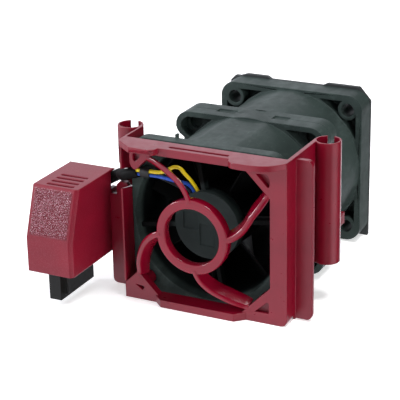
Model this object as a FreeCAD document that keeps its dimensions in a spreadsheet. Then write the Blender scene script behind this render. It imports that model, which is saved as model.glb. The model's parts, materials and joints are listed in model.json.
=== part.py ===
import FreeCAD, Part
import math
import os
import Sketcher
from FreeCAD import Vector, Placement, Rotation

# Hot-swap fan module for a one-unit server: a 40 mm two-stage axial fan in a moulded holder with a
# swirl guard, two slotted guide tubes and a hooded plug on its left side.
# Working frame: fan axis along +Y (air enters at the guard, -Y side), +X right, +Z up.
# Every sub-part carries the same base offset, which puts the origin under the middle of the module.

doc = FreeCAD.newDocument("server_fan_module")
sheet = doc.addObject("Spreadsheet::Sheet", "dims")

DIMS = [
    # placement of the whole module
    ("off_x", 5.750), ("off_y", -22.200), ("off_z", 20.400),
    # fan frame
    ("fan_half", 20.0), ("stage_len", 28.0), ("fan_front", 2.5), ("corner_rad", 4.0),
    ("front_flange_t", 3.2), ("mid_flange_t", 4.1), ("rear_flange_t", 6.0), ("gasket_t", 1.2), ("rim_t", 1.7),
    ("duct_rad", 18.6), ("body_rad", 19.8), ("rear_body_rad", 19.5), ("flat_half", 19.2),
    ("hole_pitch", 32.0), ("hole_rad", 1.75), ("bell_rad", 19.2),
    # motor
    ("base_rad", 8.5), ("base_t", 1.2), ("skirt_in", 7.9), ("skirt_len", 3.6), ("strut_w", 1.2), ("strut_gap", 1.6), ("strut_end", 4.0),
    ("shaft_rad", 1.5), ("bearing_bore", 1.53), ("bearing_rad", 3.5), ("sleeve_rad", 3.95), ("core_rad", 6.1),
    ("magnet_in", 6.4), ("magnet_out", 7.1), ("yoke_out", 7.6), ("hub_rad", 8.4), ("blade_tip", 18.1), ("rotor_end", 25.0),
    # guard and holder
    ("face_y", -2.0), ("plate_left", -20.4), ("holder_left", -20.6), ("holder_right", 22.7), ("holder_half_h", 20.4), ("plate_t", 2.0),
    ("open_left", -18.0), ("open_right", 18.4), ("open_half_h", 18.5), ("gusset_sum", 29.6),
    ("wall_t", 1.1), ("left_wall_t", 0.55),
    ("ring_out", 9.3), ("ring_in", 7.05), ("ring_front", -5.6), ("ring_depth", 2.4),
    ("tube_out", 3.2), ("tube_in", 2.7), ("tube_slot", 1.6),
    ("rtube_x", 24.9), ("rtube_y", 17.2), ("rtube_bottom", -10.3), ("ltube_x", -23.7), ("ltube_y", 9.4),
    ("fin_t", 1.4), ("rfin_y", 3.2), ("rfin_x", 26.8), ("lfin_y", 3.7), ("lfin_x", -27.1), ("fin_bottom", -20.1), ("fin_top", 19.8),
    # plug hood
    ("hood_left", -39.6), ("hood_right", -27.1), ("hood_front", -15.3), ("hood_rear", 7.5), ("hood_bottom", -11.6),
    ("hood_top", 9.5), ("hood_crease", -2.8), ("hood_top_front", -10.9), ("hood_wall", 1.3),
    # plug
    ("plug_x", -33.55), ("plug_w", 3.3), ("plug_front", -13.3), ("plug_len", 15.6), ("plug_bottom", -19.0), ("plug_top", -6.0), ("contact_pitch", 2.4), ("pocket_top", -12.5),
    # cable
    ("sheath_rad", 1.4), ("wire_rad", 0.45), ("lead_rad", 0.75),
]
for i, (name, value) in enumerate(DIMS):
    sheet.set("A%d" % (i + 1), name)
    sheet.set("B%d" % (i + 1), repr(value))
    sheet.setAlias("B%d" % (i + 1), name)
doc.recompute()


class Dim:
    """A length with its value and the sheet expression that drives it."""

    def __init__(self, v, e):
        self.v = float(v)
        self.e = e

    def __add__(self, o):
        o = dim(o)
        return Dim(self.v + o.v, "(%s + %s)" % (self.e, o.e))

    __radd__ = __add__

    def __sub__(self, o):
        o = dim(o)
        return Dim(self.v - o.v, "(%s - %s)" % (self.e, o.e))

    def __rsub__(self, o):
        return dim(o) - self

    def __mul__(self, k):
        return Dim(self.v * k, "(%s * %r)" % (self.e, k))

    __rmul__ = __mul__

    def __truediv__(self, k):
        return Dim(self.v / k, "(%s / %r)" % (self.e, k))

    def __neg__(self):
        return Dim(-self.v, "(0 - %s)" % self.e)


def dim(x):
    return x if isinstance(x, Dim) else Dim(x, repr(float(x)))


def D(name):
    return Dim(float(sheet.get(name)), "dims." + name)


def val(x):
    return x.v if isinstance(x, Dim) else float(x)


def bound(x):
    return isinstance(x, Dim) and "dims." in x.e


OFFSET = Vector(val(D("off_x")), val(D("off_y")), val(D("off_z")))
NODES = []


def place(obj):
    obj.setExpression("Placement.Base.x", "dims.off_x")
    obj.setExpression("Placement.Base.y", "dims.off_y")
    obj.setExpression("Placement.Base.z", "dims.off_z")
    NODES.append(obj)
    return obj


class Body:
    """A PartDesign body with short calls for its sketches and features."""

    def __init__(self, label, inner=False):
        self.b = doc.addObject("PartDesign::Body", label)
        self.b.Label = label
        self.n = 0
        self.label = label
        if not inner:
            place(self.b)
        doc.recompute()

    def plane(self, role):
        return [f for f in self.b.Origin.OriginFeatures if f.Role == role][0]

    def sketch(self, role, off, loops):
        self.n += 1
        s = self.b.newObject("Sketcher::SketchObject", "%s_sk%d" % (self.label, self.n))
        s.AttachmentSupport = [(self.plane(role), "")]
        s.MapMode = "FlatFace"
        s.AttachmentOffset = Placement(Vector(0, 0, val(off)), Rotation())
        if bound(off):
            s.setExpression("AttachmentOffset.Base.z", off.e)
        for loop in loops:
            if loop[0] == "circ":
                _, x, y, r = loop
                g = s.addGeometry(Part.Circle(Vector(val(x), val(y), 0), Vector(0, 0, 1), val(r)), False)
                self._pin(s, g, 3, x, y)
                c = s.addConstraint(Sketcher.Constraint("Radius", g, val(r)))
                if bound(r):
                    s.setExpression("Constraints[%d]" % c, r.e)
            else:
                pts = loop[1]
                k = len(pts)
                ids = [s.addGeometry(Part.LineSegment(Vector(val(pts[i][0]), val(pts[i][1]), 0),
                                                      Vector(val(pts[(i + 1) % k][0]), val(pts[(i + 1) % k][1]), 0)), False)
                       for i in range(k)]
                for i in range(k):
                    s.addConstraint(Sketcher.Constraint("Coincident", ids[i], 2, ids[(i + 1) % k], 1))
                for i in range(k):
                    self._pin(s, ids[i], 1, pts[i][0], pts[i][1])
        doc.recompute([s])
        return s

    def _pin(self, s, g, pos, x, y):
        for kind, q in (("DistanceX", x), ("DistanceY", y)):
            if abs(val(q)) < 1e-9:
                other = -1 if kind == "DistanceY" else -2
                s.addConstraint(Sketcher.Constraint("PointOnObject", g, pos, other))
            else:
                c = s.addConstraint(Sketcher.Constraint(kind, g, pos, val(q)))
                if bound(q):
                    s.setExpression("Constraints[%d]" % c, q.e)

    def vol(self):
        return self.b.Shape.Volume if self.b.Tip is not None and not self.b.Shape.isNull() else 0.0

    def _extrude(self, kind, role, off, loops, length, reverse):
        before = self.vol()
        s = self.sketch(role, off, loops)
        f = self.b.newObject("PartDesign::" + kind, "%s_%s%d" % (self.label, kind.lower(), self.n))
        f.Profile = s
        f.Length = val(length)
        if bound(length):
            f.setExpression("Length", length.e)
        f.Reversed = reverse
        s.Visibility = False
        doc.recompute()
        after = self.vol()
        if "Invalid" in f.State or "Error" in f.State or (kind == "Pad" and after <= before + 1e-6) or (kind == "Pocket" and after >= before - 1e-6):
            raise RuntimeError("%s %s %d: volume %.3f to %.3f state %s" % (self.label, kind, self.n, before, after, f.State))
        return f

    # a pad or pocket between two stations of one axis
    def along_y(self, y0, y1, loops, cut=False):
        """Loops in (X, Z), from station y0 to y1 along +Y."""
        if cut:
            return self._extrude("Pocket", "XZ_Plane", -dim(y0), loops, dim(y1) - y0, False)
        return self._extrude("Pad", "XZ_Plane", -dim(y0), loops, dim(y1) - y0, True)

    def along_z(self, z0, z1, loops, cut=False):
        """Loops in (X, Y), from z0 up to z1."""
        if cut:
            return self._extrude("Pocket", "XY_Plane", dim(z1), loops, dim(z1) - z0, False)
        return self._extrude("Pad", "XY_Plane", dim(z0), loops, dim(z1) - z0, False)

    def along_x(self, x0, x1, loops, cut=False):
        """Loops in (Y, Z), from x0 to x1 along +X."""
        if cut:
            return self._extrude("Pocket", "YZ_Plane", dim(x1), loops, dim(x1) - x0, False)
        return self._extrude("Pad", "YZ_Plane", dim(x0), loops, dim(x1) - x0, False)

    def turned(self, profile, cut=False):
        """Profile points (Y, radius) turned about the fan axis."""
        before = self.vol()
        s = self.sketch("YZ_Plane", 0.0, [("poly", profile)])
        f = self.b.newObject("PartDesign::" + ("Groove" if cut else "Revolution"), "%s_turn%d" % (self.label, self.n))
        f.Profile = s
        f.ReferenceAxis = (s, ["H_Axis"])
        f.Angle = 360.0
        s.Visibility = False
        doc.recompute()
        after = self.vol()
        if "Invalid" in f.State or "Error" in f.State or (not cut and after <= before + 1e-6) or (cut and after >= before - 1e-6):
            raise RuntimeError("%s turned %d: volume %.3f to %.3f" % (self.label, self.n, before, after))
        return f

    def edges(self, pred):
        names = []
        for i, e in enumerate(self.b.Tip.Shape.Edges):
            if len(e.Vertexes) < 2:
                continue
            a, b = e.Vertexes[0].Point, e.Vertexes[-1].Point
            if pred(a, b, e):
                names.append("Edge%d" % (i + 1))
        return names

    def dress(self, kind, pred, size):
        names = self.edges(pred)
        if not names:
            raise RuntimeError("%s: no edge to %s" % (self.label, kind))
        base = self.b.Tip
        f = self.b.newObject("PartDesign::" + kind, "%s_%s%d" % (self.label, kind.lower(), self.n))
        self.n += 1
        f.Base = (base, names)
        key = "Radius" if kind == "Fillet" else "Size"
        setattr(f, key, val(size))
        if bound(size):
            f.setExpression(key, size.e)
        doc.recompute()
        if "Invalid" in f.State or "Error" in f.State or f.Shape.isNull() or not f.Shape.isValid():
            self.b.Tip = base
            doc.removeObject(f.Name)
            doc.recompute()
            print("note: %s on %s left out (%d edges)" % (kind, self.label, len(names)))
            return None
        return f


def rect(x0, y0, x1, y1):
    return ("poly", [(x0, y0), (x1, y0), (x1, y1), (x0, y1)])


def near(a, b, tol=1e-3):
    return abs(a - b) < tol


def feature(label, shape):
    """A sub-part whose form is made directly, with sizes read from the sheet."""
    o = doc.addObject("Part::Feature", label)
    o.Label = label
    o.Shape = shape
    o.Placement = Placement(OFFSET, Rotation())
    NODES.append(o)
    return o


def ring_feature(label, y0, y1, r_in, r_out):
    """A plain ring or disc about the fan axis from Part primitives."""
    def cyl(name, r, a, b):
        c = doc.addObject("Part::Cylinder", "%s_%s" % (label, name))
        c.setExpression("Radius", dim(r).e)
        c.setExpression("Height", (dim(b) - a).e)
        c.setExpression("Placement.Base.y", dim(a).e)
        c.Placement = Placement(Vector(0, val(a), 0), Rotation(Vector(1, 0, 0), -90))
        return c
    outer = cyl("outer", r_out, y0, y1)
    inner = cyl("inner", r_in, dim(y0) - 1.0, dim(y1) + 1.0)
    cut = doc.addObject("Part::Cut", label)
    cut.Base = outer
    cut.Tool = inner
    cut.Label = label
    doc.recompute()
    return place(cut)


# ---------------------------------------------------------------- holder with swirl guard
WINDOWS = [[(15.0, 16.9), (17.6, 17.1), (18.2, 16.5), (18.45, 15.5), (18.3, 14.0), (17.9, 13.95)],
           [(14.5, -17.7), (17.5, -15.0), (18.05, -15.1), (18.05, -17.7)],
           [(-17.5, -16.5), (-15.0, -16.8), (-15.6, -17.8)],
           [(-16.9, 17.4), (-15.0, 17.4), (-15.3, 16.4), (-16.4, 15.4), (-17.0, 15.9)]]
WINDOW_DEPTH = 1.2


def build_holder():
    h = Body("fan_holder")
    H, T = D("holder_half_h"), D("plate_t")
    L, R, F, PL = D("holder_left"), D("holder_right"), D("face_y"), D("plate_left")
    ol, orr, oh, gs = D("open_left"), D("open_right"), D("open_half_h"), D("gusset_sum")
    # front plate with its octagonal air opening
    h.along_y(F, F + T, [rect(PL, -H, R, H)])
    h.along_y(F, F + T, [("poly", [
        (gs - oh, -oh), (orr, -(gs - orr)), (orr, gs - orr), (gs - oh, oh),
        (-(gs - oh), oh), (ol, gs + ol), (ol, -(gs + ol)), (-(gs - oh), -oh)])], cut=True)
    # the plate has no left post: it is open from the lower left gusset up to the top left gusset, whose lower tip is rounded over the cable
    h.along_y(F - 0.1, F + T, [("poly", [(-21.5, 18.6), (-17.9, 18.6), (-17.9, 14.7), (-17.45, 13.8), (-16.7, 13.3), (-16.0, 13.45), (-15.5, 13.8), (-15.2, 13.4), (-16.0, 11.0),
                                         (-16.5, -12.6), (-17.0, -13.2), (-20.25, -16.4), (-21.5, -16.4)])], cut=True)
    # blind triangular recesses in the corner gussets
    h.along_y(F, F + WINDOW_DEPTH, [("poly", w) for w in WINDOWS], cut=True)
    # top bar: a thin brow that stands forward at both ends, with a finger recess in its middle
    top = [(L, 0.8), (L, -1.9), (-20.4, -2.4), (-15.9, -6.0), (-11.8, -6.25), (-10.3, -6.4), (-9.5, -5.9), (-9.1, -5.0), (-9.0, -4.1), (9.2, -4.1), (9.5, -5.1), (10.1, -5.9), (10.9, -6.35),
           (12.0, -6.5), (15.0, -6.5), (17.5, -6.1), (19.5, -5.2), (21.3, -3.7), (22.6, -1.9), (R, 0.8)]
    h.along_z(H - 1.45, H, [("poly", top)])
    h.along_z(H - 1.95, H, [rect(-9.6, -4.1, 9.7, 0.5)])
    # the left end of the brow is undercut
    h.along_x(-15.7, -9.9, [("poly", [(-7.0, 20.0), (-6.2, 20.0), (-5.2, 18.9), (-5.2, 18.2), (-7.0, 18.2)])], cut=True)
    # bottom bar: stands forward in its middle only
    h.along_z(-H, -(H - 1.95), [("poly", [(-12.0, -2.0), (-9.6, -4.2), (9.9, -4.2), (12.2, -2.0), (12.2, 0.6), (-12.0, 0.6)])])
    # narrow groove along the top bar
    h.along_z(H - 0.9, H, [rect(-6.9, -2.75, 8.4, -1.85)], cut=True)
    # right wall, with the part behind the fin cut short below the tube
    h.along_z(-H, H, [rect(R - D("wall_t"), -0.5, R, 14.0)])
    h.along_z(D("rtube_bottom"), H, [rect(R - D("wall_t"), 13.5, R, D("rtube_y"))])
    # thin left wall, thicker where it meets the tube
    h.along_z(-H, H, [rect(L, -0.2, L + D("left_wall_t"), D("ltube_y"))])
    h.along_z(-16.1, H, [rect(L, F, L + D("left_wall_t"), 0.2)])
    h.along_z(-10.0, H, [rect(-21.6, 7.6, L + 0.2, D("ltube_y"))])
    # stops that the fan frame seats on, behind the front plate
    h.along_z(-12.0, 12.0, [rect(19.0, -0.4, R - 0.5, D("fan_front"))])
    # locating ribs that centre the fan against the right wall
    h.along_z(-18.0, 18.0, [rect(20.1, 3.2, R - 0.5, 4.4)])
    h.along_z(-18.0, 18.0, [rect(20.1, 10.2, R - 0.5, 11.4)])
    # pins in the corner holes of the fan frame
    p = D("hole_pitch") / 2
    h.along_y(-0.3, 5.0, [("circ", sx * p, sz * p, D("hole_rad") - 0.1) for sx in (1, -1) for sz in (1, -1)])
    # front-facing fins
    h.along_y(D("rfin_y"), D("rfin_y") + D("fin_t"), [rect(R - 0.5, D("fin_bottom"), D("rfin_x"), D("fin_top"))])
    h.along_y(D("lfin_y"), D("lfin_y") + D("fin_t"), [("poly", [
        (D("lfin_x"), D("fin_bottom")), (L + 0.3, D("fin_bottom")), (L + 0.3, 6.3), (-21.8, 6.3), (-22.2, 7.2), (-24.2, 7.2), (-25.1, 6.3), (-25.1, 3.8), (D("lfin_x"), 3.8)])])
    # rounded lower right corner of the front
    h.along_y(-3.0, 3.0, [("poly", [(R + 0.2, -H - 0.2), (R + 0.2, -H + 1.6), (R, -H + 1.6), (R - 0.12, -H + 0.99), (R - 0.47, -H + 0.47),
                                    (R - 0.99, -H + 0.12), (R - 1.6, -H), (R - 1.6, -H - 0.2)])], cut=True)
    h.dress("Fillet", lambda a, c, e: near(a.x, c.x) and near(a.z, c.z) and abs(a.y - c.y) > 0.5 and near(a.x, val(D("rfin_x"))), 1.4)
    h.dress("Fillet", lambda a, c, e: near(a.x, c.x) and near(a.z, c.z) and abs(a.y - c.y) > 0.5 and near(a.x, val(D("lfin_x"))) and a.z < 0.0, 1.4)
    # slotted guide tubes, open at the back
    ro, ri = D("tube_out"), D("tube_in")
    h.along_z(D("rtube_bottom"), H, [("circ", D("rtube_x"), D("rtube_y"), ro)])
    h.along_z(10.6, H, [("circ", D("ltube_x"), D("ltube_y"), ro)])
    h.along_z(-10.0, 5.5, [("circ", D("ltube_x"), D("ltube_y"), ro)])
    h.along_z(-H - 1.0, H + 1.0, [("circ", D("rtube_x"), D("rtube_y"), ri)], cut=True)
    h.along_z(-H - 1.0, H + 1.0, [("circ", D("ltube_x"), D("ltube_y"), ri)], cut=True)
    w = D("tube_slot") / 2
    h.along_z(-H - 1.0, H + 1.0, [rect(D("rtube_x") - w - 0.4, D("rtube_y") + 1.2, D("rtube_x") + w - 0.4, D("rtube_y") + 4.0)], cut=True)
    h.along_z(-H - 1.0, H + 1.0, [rect(D("ltube_x") - w - 0.6, D("ltube_y") + 1.2, D("ltube_x") + w - 0.2, D("ltube_y") + 4.0)], cut=True)
    # cable notch through the left wall, tube and front plate
    h.along_x(-21.5, -16.0, [("poly", [(-3.5, 8.3), (10.2, 5.6), (10.2, 9.9), (-3.5, 13.4)])], cut=True)
    # latch arms that hook behind the middle flange
    for side in (1, -1):
        x_out = 22.2 if side > 0 else -21.35
        x_in = 20.45 if side > 0 else -20.25
        a, b = sorted((x_in, x_out))
        h.along_y(10.0 if side > 0 else 8.6, 35.8, [rect(a, -7.9, b, -4.9)])
        tip = 19.4 * side
        a, b = sorted((tip, (x_in + 0.3 * side)))
        h.along_y(D("fan_front") + D("stage_len") + D("mid_flange_t") + 0.15, 35.8, [rect(a, -7.9, b, -4.9)])
    # the bore of the left tube runs clear past the root of its latch arm
    h.along_z(-H - 1.0, H + 1.0, [("circ", D("ltube_x"), D("ltube_y"), ri)], cut=True)
    return h


def spoke(turn, shift):
    """One guard spoke: a bent ribbon that leans the way the air swirls, root at the gusset, tip in the ring."""
    stations = [(21.75, 37.2 + shift, -1.7, 2.3), (20.6, 34.8 + shift, -1.95, 2.6), (19.0, 31.2 + shift * 0.6, -2.8, 2.8), (16.1, 24.2, -3.9, 2.9),
                (13.2, 14.8, -4.7, 2.7), (10.8, 8.0, -5.2, 2.3), (8.6, 3.4, -5.4, 2.1)]
    t, lean = 0.72, 0.62
    pts = []
    for r, a, y, d in stations:
        q = math.radians(a + turn)
        pts.append((Vector(r * math.cos(q), y, r * math.sin(q)), q, d))
    wires = []
    for i, (p, q, d) in enumerate(pts):
        a = pts[max(i - 1, 0)][0]
        b = pts[min(i + 1, len(pts) - 1)][0]
        along = Vector(b.x - a.x, 0, b.z - a.z)
        along.normalize()
        side = Vector(-along.z, 0, along.x)
        tang = Vector(-math.sin(q), 0, math.cos(q))
        back = Vector(tang.x * lean * d, d, tang.z * lean * d)
        w = side * t
        ring = [p - w, p - w * 0.55 - Vector(0, 0.28, 0), p + w * 0.55 - Vector(0, 0.28, 0), p + w, p + back + w * 0.8, p + back - w * 0.8]
        # the six points of a station are laid into one plane across the ribbon
        ring = [v - along * ((v - p).dot(along)) for v in ring]
        wires.append(Part.makePolygon(ring + [ring[0]]))
    return Part.makeLoft(wires, True, True)


def guard_spider(frame):
    """The centre ring and its four swirl spokes as one solid, ending at the faces of the holder."""
    fr, dp = val(D("ring_front")), val(D("ring_depth"))
    ro, ri = val(D("ring_out")), val(D("ring_in"))
    ring = Part.makeCylinder(ro, dp, Vector(0, fr, 0), Vector(0, 1, 0)).cut(
        Part.makeCylinder(ri, dp + 2, Vector(0, fr - 1, 0), Vector(0, 1, 0)))
    inside = Part.makeCylinder(ri + 0.6, 20, Vector(0, -10, 0), Vector(0, 1, 0))
    out = ring
    for k, shift in enumerate((-2.5, 2.0, 3.0, 0.0)):
        out = out.fuse(spoke(90.0 * k, shift).cut(inside))
    face = val(D("face_y"))
    for w in WINDOWS:
        q = Part.makePolygon([Vector(x, face - 1.0, z) for x, z in w + [w[0]]])
        out = out.cut(Part.Face(q).extrude(Vector(0, WINDOW_DEPTH + 1.0, 0)))
    out = out.cut(frame)
    # only the piece that holds the ring is kept
    return max(out.Solids, key=lambda q: q.Volume)


holder = build_holder()
frame_shape = holder.b.Shape.copy()
frame_shape.Placement = Placement()
feature("swirl_guard", guard_spider(frame_shape))


# ---------------------------------------------------------------- plug hood and plug
def build_hood():
    b = Body("plug_hood")
    x0, x1, w = D("hood_left"), D("hood_right"), D("hood_wall")
    y0, y1, z0, z1 = D("hood_front"), D("hood_rear"), D("hood_bottom"), D("hood_top")
    zc, yt = D("hood_crease"), D("hood_top_front")
    b.along_x(x0, x1, [("poly", [(y0, z0), (y1, z0), (y1, z1), (yt, z1), (y0, zc)])])
    b.dress("Fillet", lambda a, c, e: near(a.y, val(y1)) and near(c.y, val(y1)) and near(a.z, val(z1)) and near(c.z, val(z1)), 1.6)
    b.dress("Chamfer", lambda a, c, e: near(a.x, val(x1)) and near(c.x, val(x1)) and a.y < val(y1) - 2.2 and c.y < val(y1) - 1.0
            and not (near(a.z, val(z0)) and near(c.z, val(z0))), 0.8)
    b.along_x(x0 + w, x1 - w, [("poly", [(y0 + w, z0 - 1.0), (y1 + 1.0, z0 - 1.0), (y1 + 1.0, z1 - w), (yt + 0.8, z1 - w), (y0 + w, zc - 0.3)])], cut=True)
    # rear corner of the right wall left open for the cable
    b.along_x(x1 - w - 0.2, x1 + 0.1, [rect(4.7, 4.5, y1 + 0.2, 8.9)], cut=True)
    slots = [rect(-36.5, yc - 0.45, -29.1, yc + 0.45) for yc in (-2.8, -4.95, -7.2, -9.35)]
    b.along_z(z1 - 0.85, z1, slots, cut=True)
    return b


def build_plug():
    b = Body("connector_body")
    xc, w, y0, ln = D("plug_x"), D("plug_w"), D("plug_front"), D("plug_len")
    zb, zt, p = D("plug_bottom"), D("plug_top"), D("contact_pitch")
    b.along_z(zb, zt, [rect(xc - w / 2, y0, xc + w / 2, y0 + ln)])
    # flange that grips the inside of the hood
    b.along_z(-9.6, -7.6, [rect(D("hood_left") + D("hood_wall"), -12.6, D("hood_right") - D("hood_wall"), 2.0)])
    # cavities at the mating end
    yc = [y0 + ln / 2 + p * (k - 2.5) for k in range(6)]
    b.along_z(zb, D("pocket_top"), [rect(xc - 0.95, y - 0.75, xc + 0.75, y + 0.75) for y in yc], cut=True)
    # polarising rib
    b.along_z(zb + 1.0, -12.0, [rect(xc + w / 2, y0 + 2.0, xc + w / 2 + 0.6, y0 + 3.2)])
    return b, yc


hood = build_hood()
plug, contact_y = build_plug()

contacts = []
for k, yk in enumerate(contact_y):
    c = doc.addObject("Part::Box", "contact_%d" % (k + 1))
    c.setExpression("Length", "0.3")
    c.setExpression("Width", "1")
    c.setExpression("Height", (D("pocket_top") - D("plug_bottom") - 1.0).e)
    c.setExpression("Placement.Base.x", (D("plug_x") - 0.95).e)
    c.setExpression("Placement.Base.y", (yk - 0.5).e)
    c.setExpression("Placement.Base.z", (D("plug_bottom") + 1.0).e)
    contacts.append(c)
terminals = doc.addObject("Part::Compound", "connector_contacts")
terminals.Links = contacts
terminals.Label = "connector_contacts"
place(terminals)


# ---------------------------------------------------------------- fan housings
def bar(angle, r0, r1, w):
    """A straight radial bar seen from the front, at an angle from +X towards +Z."""
    q = math.radians(angle)
    c, s = math.cos(q), math.sin(q)
    pts = [(r0, -w / 2), (r1, -w / 2), (r1, w / 2), (r0, w / 2)]
    return ("poly", [(r * c - t * s, r * s + t * c) for r, t in pts])


def round_corners(b, y0, y1, half, r):
    b.dress("Fillet", lambda a, c, e: near(abs(a.x), half) and near(abs(a.z), half) and near(a.x, c.x) and near(a.z, c.z)
            and min(a.y, c.y) > y0 - 0.01 and max(a.y, c.y) < y1 + 0.01, r)


def motor_base(tag, yb, turn, duct):
    """Motor base, its skirt and boss, and four struts that end on the duct, from station yb back."""
    b = Body(tag + "_motor_base")
    b.along_y(yb, yb + D("base_t"), [("circ", 0.0, 0.0, D("base_rad"))])
    b.along_y(yb + D("base_t") - 0.2, yb + D("skirt_len"), [("circ", 0.0, 0.0, D("base_rad")), ("circ", 0.0, 0.0, D("skirt_in"))])
    b.along_y(yb + D("base_t") - 0.2, yb + 2.6, [("circ", 0.0, 0.0, D("sleeve_rad") + 0.95), ("circ", 0.0, 0.0, D("sleeve_rad"))])
    g = D("strut_gap")
    for k in range(4):
        b.along_y(yb + g, yb + D("skirt_len") - 0.1, [bar(turn + 90.0 * k, 8.2, 19.4, 1.2)])
    # the strut ends follow the duct
    b.turned(duct + [(yb + 8.0, 22.0), (yb - 0.1, 22.0)], cut=True)
    # lead window in the skirt, beside the top strut
    b.along_y(yb + D("base_t"), yb + D("skirt_len"), [bar(turn + 23.0, 6.5, 9.6, 4.4)], cut=True)
    return b


def mid_outline():
    """Outline of the middle flange: straight top and bottom, side lugs, and a notch either side of each lug."""
    right = [(20.0, -7.6), (20.0, 7.6), (18.9, 8.3), (17.9, 12.4), (19.2, 13.3), (19.9, 14.2), (20.25, 15.3), (20.15, 16.5), (19.75, 17.5), (19.1, 18.35), (18.2, 18.95), (17.2, 19.3), (16.2, 19.4)]
    bottom = [(x, -z) for x, z in reversed(right[2:])]
    loop = bottom + right
    left = [(-x, z) for x, z in reversed(loop)]
    return loop + left


def build_front_housing():
    b = Body("front_housing")
    y0, half = D("fan_front"), D("fan_half")
    t, L, r, p = D("front_flange_t"), D("stage_len"), D("duct_rad"), D("hole_pitch") / 2
    b.along_y(y0, y0 + t, [rect(-half, -half, half, half)])
    round_corners(b, 2.0, 6.0, val(half), val(D("corner_rad")))
    b.along_y(y0 + t, y0 + L, [("circ", 0.0, 0.0, D("body_rad"))])
    b.along_y(y0 + t, y0 + L - D("mid_flange_t"), [rect(-21.0, D("flat_half"), 21.0, 21.0), rect(-21.0, -21.0, 21.0, -D("flat_half"))], cut=True)
    b.along_y(y0 + L - D("mid_flange_t"), y0 + L, [("poly", mid_outline())])
    b.along_y(y0, y0 + L, [("circ", 0.0, 0.0, r)], cut=True)
    b.turned([(y0 - 0.1, 18.0), (y0 - 0.1, D("bell_rad") + 0.05), (y0 + 1.2, 18.95), (y0 + 4.0, r - 0.02), (y0 + 4.0, 18.0)], cut=True)
    b.along_y(y0, y0 + t, [("circ", sx * p, sz * p, D("hole_rad")) for sx in (1, -1) for sz in (1, -1)], cut=True)
    # the corners of the middle flange are hollow from the front
    m = y0 + L - D("mid_flange_t")
    for sx in (1, -1):
        for sz in (1, -1):
            b.along_y(m, m + 3.0, [("poly", [(sx * x, sz * z) for x, z in
                      ((18.7, 14.8), (18.7, 16.2), (17.9, 17.4), (16.8, 18.0), (10.0, 18.0), (12.6, 15.9), (14.6, 14.1), (16.4, 12.6), (17.6, 13.4))])], cut=True)
    b.along_y(m, y0 + L, [("circ", sx * p, sz * p, D("hole_rad")) for sx in (1, -1) for sz in (1, -1)], cut=True)
    # pockets for the clips that join the two stages
    b.along_y(29.4, y0 + L, [rect(-10.2, 19.05, -5.2, 20.5), rect(5.0, 19.05, 9.2, 20.5)], cut=True)
    # small hook behind the top edge of the front flange
    b.along_z(19.0, 20.85, [rect(-9.4, y0 + t - 0.3, -8.8, y0 + t + 0.8)])
    return b


def build_rear_housing():
    b = Body("rear_housing")
    y0 = D("fan_front") + D("stage_len")
    half, t, L, r, p = D("fan_half"), D("rear_flange_t"), D("stage_len"), D("duct_rad"), D("hole_pitch") / 2
    b.along_y(y0 + L - t, y0 + L, [rect(-half, -half, half, half)])
    round_corners(b, 52.0, 59.0, val(half), val(D("corner_rad")))
    b.along_y(y0 + D("mid_flange_t") - 0.5, y0 + L - t, [("circ", 0.0, 0.0, D("rear_body_rad"))])
    b.along_y(y0, y0 + D("mid_flange_t"), [("poly", mid_outline())])
    b.along_y(y0, y0 + L, [("circ", 0.0, 0.0, r)], cut=True)
    b.along_y(y0 + L - t, y0 + L, [("circ", sx * p, sz * p, D("hole_rad")) for sx in (1, -1) for sz in (1, -1)], cut=True)
    # the corners are hollow from the front, inside a rim; each screw keeps its boss
    i, g = half - D("rim_t"), 13.9
    for sx in (1, -1):
        for sz in (1, -1):
            b.along_y(y0 + L - t, y0 + L - 2.2, [("poly", [
                (sx * 18.3, sz * 8.2), (sx * 18.3, sz * 16.6), (sx * 16.6, sz * 18.3), (sx * 8.2, sz * 18.3), (sx * 12.2, sz * 15.6), (sx * 15.6, sz * 12.2)])], cut=True)
            b.along_y(y0 + L - t, y0 + L - 2.0, [("circ", sx * p, sz * p, D("hole_rad") + 0.9), ("circ", sx * p, sz * p, D("hole_rad"))])
    b.along_y(y0, 31.8, [rect(-10.2, 19.05, -5.2, 20.5), rect(5.0, 19.05, 9.2, 20.5)], cut=True)
    return b


front_housing = build_front_housing()
rear_housing = build_rear_housing()
y0, dr = D("fan_front"), D("duct_rad")
front_base = motor_base("front", y0, 100.0, [(y0 - 0.1, D("bell_rad") + 0.05), (y0 + 1.2, 18.95), (y0 + 4.0, dr - 0.02), (y0 + 8.0, dr)])
# two blank stepped recesses in the face of the front motor base
front_base.along_y(y0, y0 + 0.25, [rect(-6.2, -1.4, -2.3, 2.9), rect(-1.9, -5.3, 2.0, 0.3)], cut=True)
y1 = D("fan_front") + D("stage_len") + 0.5
rear_base = motor_base("rear", y1, 55.0, [(y1 - 0.1, dr), (y1 + 8.0, dr)])


def build_gasket():
    b = Body("outlet_gasket")
    y0 = D("fan_front") + D("stage_len") * 2.0
    half, H, p = D("fan_half"), D("holder_half_h"), D("hole_pitch") / 2
    t = D("gasket_t")
    b.along_y(y0, y0 + t, [("poly", [
        (-half, -H), (half, -H), (half, 17.2), (16.9, 20.7), (8.0, 20.7), (6.6, half), (-8.1, half), (-9.2, 20.7), (-15.2, 20.7), (-17.2, half), (-18.6, half), (-half, 18.6)])])
    b.along_y(y0, y0 + t, [("circ", 0.0, 0.0, D("duct_rad"))], cut=True)
    b.along_y(y0, y0 + t, [("circ", sx * p, sz * p, D("hole_rad")) for sx in (1, -1) for sz in (1, -1)], cut=True)
    return b


gasket = build_gasket()


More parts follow.
